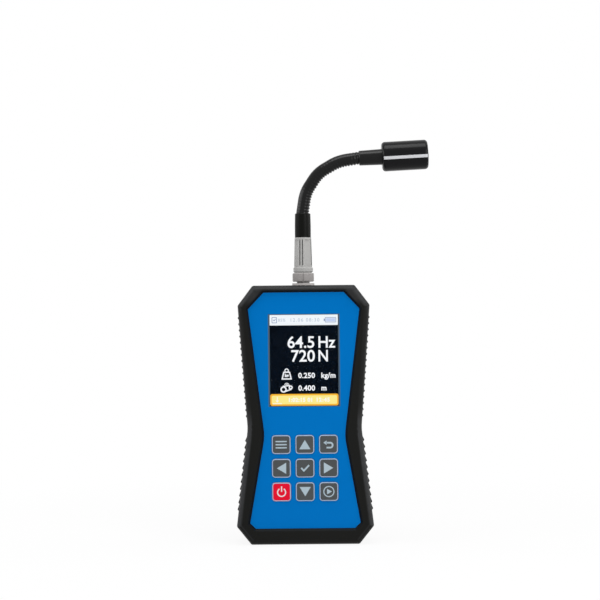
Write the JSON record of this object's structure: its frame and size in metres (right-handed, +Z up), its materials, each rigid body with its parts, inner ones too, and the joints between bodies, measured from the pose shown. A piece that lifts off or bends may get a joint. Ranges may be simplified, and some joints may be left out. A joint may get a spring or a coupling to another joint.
{
  "type": "belt tension tester",
  "caption": "Handheld belt tension tester in a waisted rubber boot, with a colour display, sprung keys and an optical sensor head on a flexible neck that plugs into the top.",
  "frame": {"origin": "middle of the boot's flat base", "axes": "+Z up along the meter towards the plug, -Y the way the display and keys face, +X to the right seen from the front, the side that the neck bends to"},
  "size_m": [0.1514, 0.04, 0.3132],
  "materials": {
    "boot_rubber": "matt moulded black rubber",
    "case_plastic": "fine-grained black plastic",
    "seal_rubber": "soft rubber cord",
    "overlay_blue": "satin blue printed film",
    "window_clear": "clear hard-coated window",
    "display_dark": "dark display glass",
    "board_green": "green solder mask",
    "switch_black": "black plastic",
    "screw_steel": "zinc-plated steel",
    "cell_can": "printed metal can, bare of print",
    "contact_steel": "nickel-plated spring steel",
    "door_plastic": "fine-grained black plastic",
    "socket_grey": "satin grey plastic",
    "insulator_cream": "cream insulator",
    "key_grey": "satin grey film",
    "key_red": "satin red film",
    "plug_grey": "satin light grey plastic",
    "collar_grey": "satin grey plastic",
    "sleeve_black": "semi-gloss black sleeve",
    "neck_black": "semi-gloss black cover over a wound arm",
    "head_black": "satin black plastic",
    "stripe_white": "white inlay",
    "window_red": "dark red filter window",
    "diode_red": "tinted clear plastic",
    "diode_black": "dark filter plastic"
  },
  "bodies": {
    "meter": {"rubber_boot": "boot_rubber", "front_shell": "case_plastic", "rear_shell": "case_plastic", "case_seal": "seal_rubber", "front_overlay": "overlay_blue", "display_window": "window_clear", "display_module": "display_dark", "main_board": "board_green", "key_switches": "switch_black", "board_screws": "screw_steel", "case_screws": "screw_steel", "cells": "cell_can", "cell_plates": "contact_steel", "cell_springs": "contact_steel", "socket": "socket_grey", "socket_nut": "socket_grey", "socket_pins": "insulator_cream"},
    "battery_door": {"battery_door": "door_plastic", "door_screws": "screw_steel"},
    "key_menu": {"key_menu": "key_grey"},
    "key_up": {"key_up": "key_grey"},
    "key_back": {"key_back": "key_grey"},
    "key_left": {"key_left": "key_grey"},
    "key_ok": {"key_ok": "key_grey"},
    "key_right": {"key_right": "key_grey"},
    "key_power": {"key_power": "key_red"},
    "key_down": {"key_down": "key_grey"},
    "key_start": {"key_start": "key_grey"},
    "sensor_plug": {"plug_shell": "plug_grey", "plug_collar": "collar_grey", "plug_insulator": "insulator_cream", "neck_sleeve": "sleeve_black"},
    "neck_link_01": {"neck_link_01": "neck_black"},
    "neck_link_02": {"neck_link_02": "neck_black"},
    "neck_link_03": {"neck_link_03": "neck_black"},
    "neck_link_04": {"neck_link_04": "neck_black"},
    "neck_link_05": {"neck_link_05": "neck_black"},
    "neck_link_06": {"neck_link_06": "neck_black"},
    "neck_link_07": {"neck_link_07": "neck_black"},
    "neck_link_08": {"neck_link_08": "neck_black"},
    "neck_link_09": {"neck_link_09": "neck_black"},
    "neck_link_10": {"neck_link_10": "neck_black"},
    "neck_link_11": {"neck_link_11": "neck_black"},
    "sensor_head": {"head_ferrule": "sleeve_black", "head_housing": "head_black", "head_stripe": "stripe_white", "head_window": "window_red", "window_ring": "head_black", "sensor_board": "board_green", "emitter": "diode_red", "receivers": "diode_black"}
  },
  "joints": [
    {"name": "battery_door_lift", "type": "slide", "parent": "meter", "child": "battery_door", "axis": [0, 1, 0], "range_m": [0, 0.03]},
    {"name": "key_menu_press", "type": "slide", "parent": "meter", "child": "key_menu", "axis": [0, 1, 0], "range_m": [0, 0.0005], "stiffness_N_per_m": 2000, "springref_m": -0.0005},
    {"name": "key_up_press", "type": "slide", "parent": "meter", "child": "key_up", "axis": [0, 1, 0], "range_m": [0, 0.0005], "stiffness_N_per_m": 2000, "springref_m": -0.0005},
    {"name": "key_back_press", "type": "slide", "parent": "meter", "child": "key_back", "axis": [0, 1, 0], "range_m": [0, 0.0005], "stiffness_N_per_m": 2000, "springref_m": -0.0005},
    {"name": "key_left_press", "type": "slide", "parent": "meter", "child": "key_left", "axis": [0, 1, 0], "range_m": [0, 0.0005], "stiffness_N_per_m": 2000, "springref_m": -0.0005},
    {"name": "key_ok_press", "type": "slide", "parent": "meter", "child": "key_ok", "axis": [0, 1, 0], "range_m": [0, 0.0005], "stiffness_N_per_m": 2000, "springref_m": -0.0005},
    {"name": "key_right_press", "type": "slide", "parent": "meter", "child": "key_right", "axis": [0, 1, 0], "range_m": [0, 0.0005], "stiffness_N_per_m": 2000, "springref_m": -0.0005},
    {"name": "key_power_press", "type": "slide", "parent": "meter", "child": "key_power", "axis": [0, 1, 0], "range_m": [0, 0.0005], "stiffness_N_per_m": 2000, "springref_m": -0.0005},
    {"name": "key_down_press", "type": "slide", "parent": "meter", "child": "key_down", "axis": [0, 1, 0], "range_m": [0, 0.0005], "stiffness_N_per_m": 2000, "springref_m": -0.0005},
    {"name": "key_start_press", "type": "slide", "parent": "meter", "child": "key_start", "axis": [0, 1, 0], "range_m": [0, 0.0005], "stiffness_N_per_m": 2000, "springref_m": -0.0005},
    {"name": "plug_pull", "type": "slide", "parent": "meter", "child": "sensor_plug", "axis": [0, 0, 1], "range_m": [0, 0.016]},
    {"name": "neck_bend_1", "type": "hinge", "parent": "sensor_plug", "child": "neck_link_01", "pos_m": [0, 0.002, 0.2571], "axis": [0, 1, 0], "range_deg": [-20.95, 3]},
    {"name": "neck_swing_1", "type": "hinge", "parent": "neck_link_01", "child": "neck_link_02", "pos_m": [0.00095, 0.002, 0.26313], "axis": [0.9878, 0, -0.1555], "range_deg": [-12, 12]},
    {"name": "neck_bend_2", "type": "hinge", "parent": "neck_link_02", "child": "neck_link_03", "pos_m": [0.0019, 0.002, 0.26915], "axis": [0, 1, 0], "range_deg": [-23.43, 3]},
    {"name": "neck_bend_3", "type": "hinge", "parent": "neck_link_03", "child": "neck_link_04", "pos_m": [0.00402, 0.002, 0.27487], "axis": [0, 1, 0], "range_deg": [-24.95, 3]},
    {"name": "neck_swing_2", "type": "hinge", "parent": "neck_link_04", "child": "neck_link_05", "pos_m": [0.00737, 0.002, 0.27997], "axis": [0.8356, 0, -0.5493], "range_deg": [-12, 12]},
    {"name": "neck_bend_4", "type": "hinge", "parent": "neck_link_05", "child": "neck_link_06", "pos_m": [0.01072, 0.002, 0.28506], "axis": [0, 1, 0], "range_deg": [-25.51, 3]},
    {"name": "neck_bend_5", "type": "hinge", "parent": "neck_link_06", "child": "neck_link_07", "pos_m": [0.01517, 0.002, 0.28924], "axis": [0, 1, 0], "range_deg": [-25.11, 3]},
    {"name": "neck_swing_3", "type": "hinge", "parent": "neck_link_07", "child": "neck_link_08", "pos_m": [0.02045, 0.002, 0.29229], "axis": [0.501, 0, -0.8654], "range_deg": [-12, 12]},
    {"name": "neck_bend_6", "type": "hinge", "parent": "neck_link_08", "child": "neck_link_09", "pos_m": [0.02573, 0.002, 0.29535], "axis": [0, 1, 0], "range_deg": [-23.75, 3]},
    {"name": "neck_bend_7", "type": "hinge", "parent": "neck_link_09", "child": "neck_link_10", "pos_m": [0.03152, 0.002, 0.29727], "axis": [0, 1, 0], "range_deg": [-21.43, 3]},
    {"name": "neck_swing_4", "type": "hinge", "parent": "neck_link_10", "child": "neck_link_11", "pos_m": [0.03755, 0.002, 0.29821], "axis": [0.1546, 0, -0.988], "range_deg": [-12, 12]},
    {"name": "neck_bend_8", "type": "hinge", "parent": "neck_link_11", "child": "sensor_head", "pos_m": [0.04357, 0.002, 0.29916], "axis": [0, 1, 0], "range_deg": [-18.15, 3]}
  ]
}
